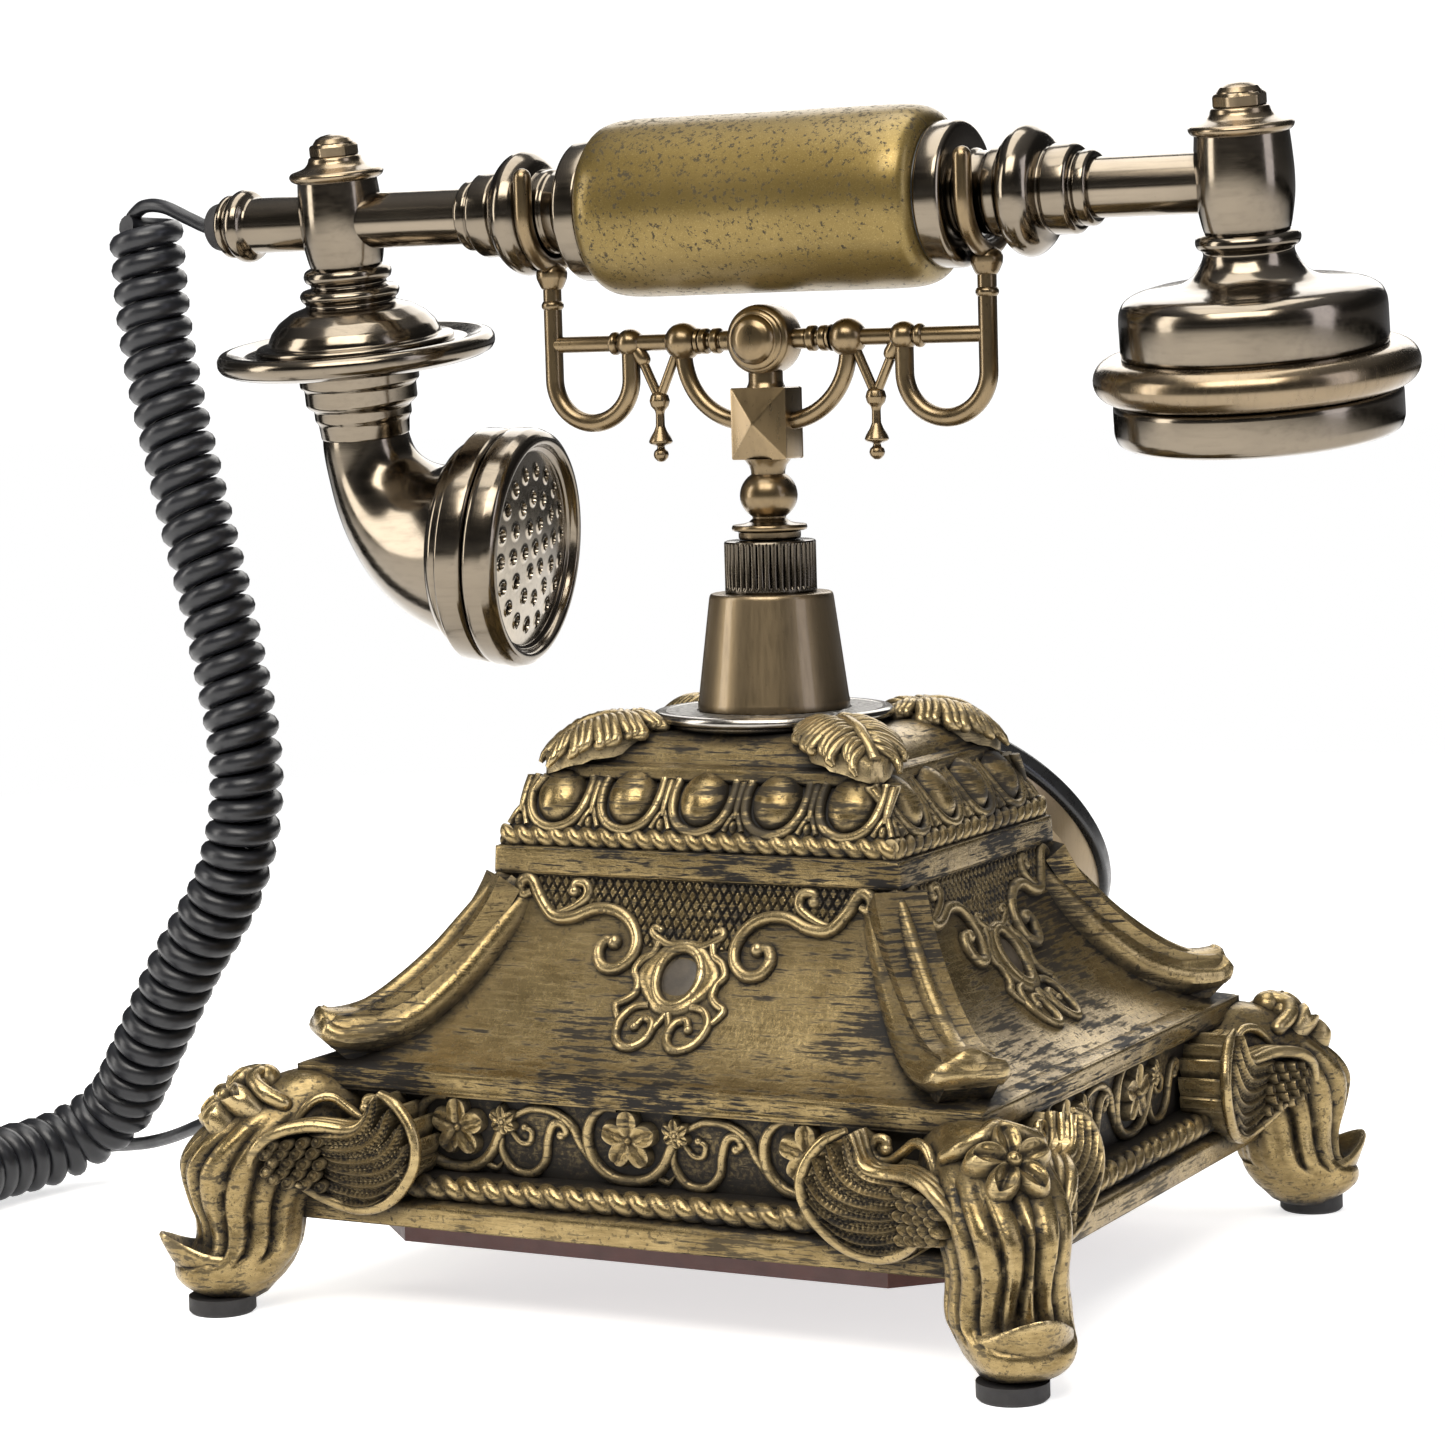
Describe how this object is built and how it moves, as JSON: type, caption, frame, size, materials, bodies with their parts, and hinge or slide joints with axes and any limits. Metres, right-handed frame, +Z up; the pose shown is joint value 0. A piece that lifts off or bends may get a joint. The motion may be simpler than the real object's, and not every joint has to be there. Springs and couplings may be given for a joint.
{
  "type": "telephone",
  "caption": "Antique-style dial telephone: ornate footed base, post with a forked cradle, lift-off handset with horn mouthpiece, and coiled cord.",
  "frame": {"origin": "centre of the footprint of the four feet, on the table", "axes": "+Z up; -Y is the front, where the dial faces; +X is the mouthpiece end"},
  "size_m": [0.3376, 0.1882, 0.2221],
  "materials": {
    "antique_gold": "antique gold paint over cast resin, dark wash in the recesses",
    "pad_rubber": "black rubber",
    "maroon_plate": "dark maroon satin paint",
    "zinc_steel": "zinc-plated steel",
    "black_plastic": "black moulded plastic",
    "board_green": "green laminate",
    "gong_brass": "turned brass",
    "coil_wire": "enamelled wire under tape",
    "clear_plug": "translucent moulded plug",
    "grey_metal": "hammered grey metal",
    "cup_bronze": "brushed antique bronze",
    "black_bronze": "black bronze",
    "antique_brass": "satin antique brass",
    "gunmetal": "polished antique brass plating, gunmetal tone",
    "grip_gold": "olive-gold metallic paint with dark speckles",
    "dial_paint": "ivory enamel",
    "cord_black": "black satin vinyl"
  },
  "bodies": {
    "base": {"base_casting": "antique_gold", "corner_feet": "antique_gold", "foot_bolts": "zinc_steel", "foot_pads": "pad_rubber", "bottom_plate": "maroon_plate", "bottom_screws": "zinc_steel", "ballast_plate": "zinc_steel", "circuit_board": "board_green", "hook_bracket": "zinc_steel", "hook_pin": "zinc_steel", "hook_switch": "black_plastic", "ringer_frame": "zinc_steel", "ringer_gongs": "gong_brass", "ringer_coil": "coil_wire", "line_socket": "black_plastic", "handset_socket": "black_plastic", "cord_plug": "clear_plug", "post_flange": "grey_metal", "post_cup": "cup_bronze", "post_nut": "zinc_steel", "ribbed_collar": "black_bronze", "guide_bush": "gong_brass", "dial_housing": "cup_bronze", "dial_bezel": "black_plastic", "number_plate": "dial_paint", "dial_frame": "zinc_steel", "finger_stop": "gunmetal", "coil_cord": "cord_black", "base_cable": "cord_black"},
    "cradle": {"cradle_stem": "antique_brass", "stem_clip": "zinc_steel", "return_spring": "zinc_steel", "cradle_frame": "antique_brass", "cradle_forks": "antique_brass", "boss_caps": "antique_brass"},
    "handset": {"grip": "grip_gold", "tie_rod": "zinc_steel", "ferrules": "gunmetal", "neck_spools": "gunmetal", "arm_tubes": "gunmetal", "columns": "gunmetal", "column_caps": "gunmetal", "cap_nuts": "gunmetal", "cord_grommet": "cord_black", "mouth_flange": "gunmetal", "horn": "gunmetal", "mouthpiece_cap": "gunmetal", "microphone": "black_plastic", "ear_cup": "gunmetal", "ear_ring": "gunmetal", "ear_cap": "gunmetal", "receiver": "black_plastic", "cord_tail": "cord_black"},
    "hook": {"hook_lever": "zinc_steel"},
    "dial": {"finger_wheel": "gunmetal", "dial_hub_cap": "antique_brass", "dial_gear": "gong_brass"},
    "governor": {"governor_pinion": "zinc_steel"},
    "clapper": {"ringer_clapper": "gong_brass"},
    "volume": {"ringer_switch_knob": "black_plastic"}
  },
  "joints": [
    {"name": "cradle_rise", "type": "slide", "parent": "base", "child": "cradle", "axis": [0, 0, 1], "range_m": [0, 0.005], "deforming": ["return_spring"]},
    {"name": "handset_lift_off", "type": "slide", "parent": "cradle", "child": "handset", "axis": [0, 0, 1], "range_m": [0, 0.11]},
    {"name": "hook_lever_turn", "type": "hinge", "parent": "base", "child": "hook", "pos_m": [0.02, 0, 0.0706], "axis": [0, 1, 0], "range_deg": [0, 12]},
    {"name": "dial_turn", "type": "hinge", "parent": "base", "child": "dial", "pos_m": [0, -0.07, 0.073], "axis": [0, 0.766, -0.6428], "range_deg": [0, 320]},
    {"name": "governor_turn", "type": "hinge", "parent": "base", "child": "governor", "pos_m": [0, -0.08391, 0.05642], "axis": [0, 0.766, -0.6428], "range_deg": [-962, 0]},
    {"name": "clapper_swing", "type": "hinge", "parent": "base", "child": "clapper", "pos_m": [0, 0.0195, 0.029], "axis": [0, 0, 1], "range_deg": [-10, 10]},
    {"name": "volume_slide", "type": "slide", "parent": "base", "child": "volume", "axis": [1, 0, 0], "range_m": [-0.003, 0.003]}
  ],
  "couplings": [
    {"joint": "hook_lever_turn", "follows": "cradle_rise", "rad_per_m": 40},
    {"joint": "governor_turn", "follows": "dial_turn", "ratio": -3}
  ]
}
